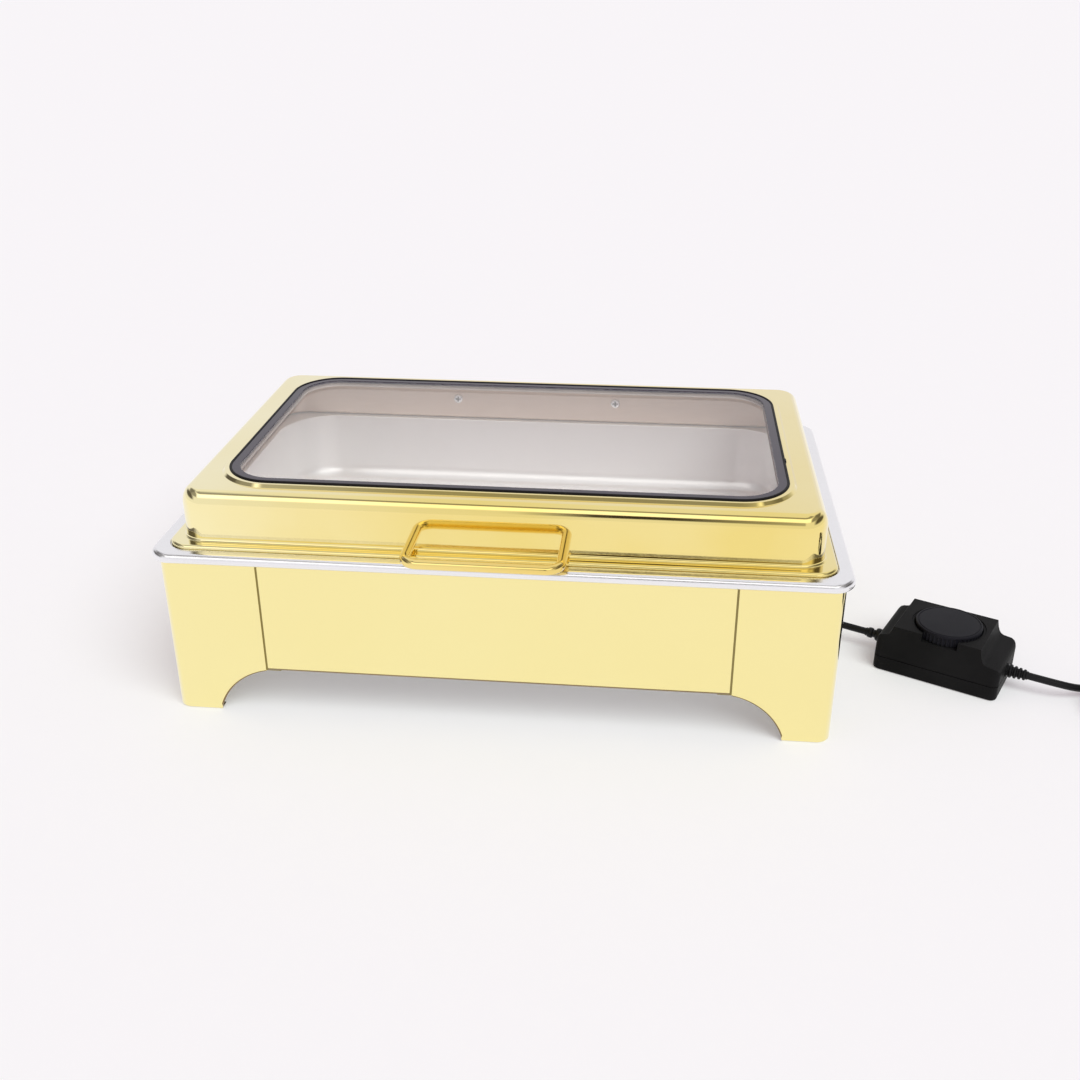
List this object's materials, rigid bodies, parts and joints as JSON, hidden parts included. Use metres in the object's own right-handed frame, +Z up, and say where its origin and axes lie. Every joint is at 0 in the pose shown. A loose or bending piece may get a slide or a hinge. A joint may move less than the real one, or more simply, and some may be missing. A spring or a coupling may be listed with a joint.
{
  "type": "food warmer",
  "caption": "Electric countertop food warmer: gold sheet base, water pan, lift-out food pan, hinged lid with a glass window and front handle, and a dial controller on its cord.",
  "frame": {"origin": "middle of the warmer's outline on the table, under the base", "axes": "+X to the right along the long side, +Y to the hinge side at the back, +Z up"},
  "size_m": [0.9015, 0.4035, 0.1967],
  "materials": {
    "gold_steel": "mirror-polished gold-coloured stainless steel",
    "pan_steel": "satin stainless steel",
    "hinge_steel": "satin steel",
    "fastener_steel": "zinc-plated steel",
    "window_glass": "clear toughened glass",
    "gasket_rubber": "matt black silicone",
    "heater_aluminium": "plain rolled",
    "shield_steel": "plain sheet",
    "insulator": "pale moulded insulator",
    "copper_wire": "insulated wire",
    "black_plastic": "fine-grained black moulding",
    "board": "circuit board laminate",
    "black_cord": "black flexible sheath",
    "pin_brass": "bright pins"
  },
  "bodies": {
    "base": {"left_end_frame": "gold_steel", "right_end_frame": "gold_steel", "front_panel": "gold_steel", "rear_panel": "gold_steel", "water_pan": "pan_steel", "food_pan": "pan_steel", "hinge_bracket_left": "hinge_steel", "hinge_bracket_right": "hinge_steel", "hinge_pins": "fastener_steel", "hinge_bracket_screws": "fastener_steel", "hinge_bracket_nuts": "fastener_steel", "heater_plate": "heater_aluminium", "heating_element": "shield_steel", "element_clips": "fastener_steel", "thermal_cutout": "insulator", "shield_spacers": "fastener_steel", "heat_shield": "shield_steel", "shield_nuts": "fastener_steel", "terminal_box": "black_plastic", "box_screws": "fastener_steel", "box_nuts": "fastener_steel", "terminal_block": "insulator", "supply_wires": "copper_wire", "element_leads": "copper_wire", "cable_gland": "black_plastic", "controller_lower_case": "black_plastic", "controller_cover": "black_plastic", "dial_switch": "black_plastic", "circuit_board": "board", "controller_screws": "fastener_steel", "link_relief": "black_cord", "mains_relief": "black_cord", "link_cord": "black_cord", "mains_cord": "black_cord", "mains_cord_coil": "black_cord", "mains_cord_tail": "black_cord", "cord_tie": "black_cord", "plug_body": "black_plastic", "plug_pins": "pin_brass"},
    "lid": {"lid_shell": "gold_steel", "window_glass": "window_glass", "window_gasket": "gasket_rubber", "lid_handle": "gold_steel", "handle_screws": "fastener_steel", "hinge_leaf_left": "hinge_steel", "hinge_leaf_right": "hinge_steel", "hinge_leaf_screws": "fastener_steel", "hinge_leaf_nuts": "fastener_steel"},
    "dial": {"controller_dial": "black_plastic", "dial_spindle": "fastener_steel"}
  },
  "joints": [
    {"name": "lid_hinge", "type": "hinge", "parent": "base", "child": "lid", "pos_m": [0, 0.185, 0.153], "axis": [-1, 0, 0], "range_deg": [0, 95]},
    {"name": "dial_turn", "type": "hinge", "parent": "base", "child": "dial", "pos_m": [0.387, -0.043, 0.042], "axis": [0, 0, -1], "range_deg": [0, 270]}
  ]
}
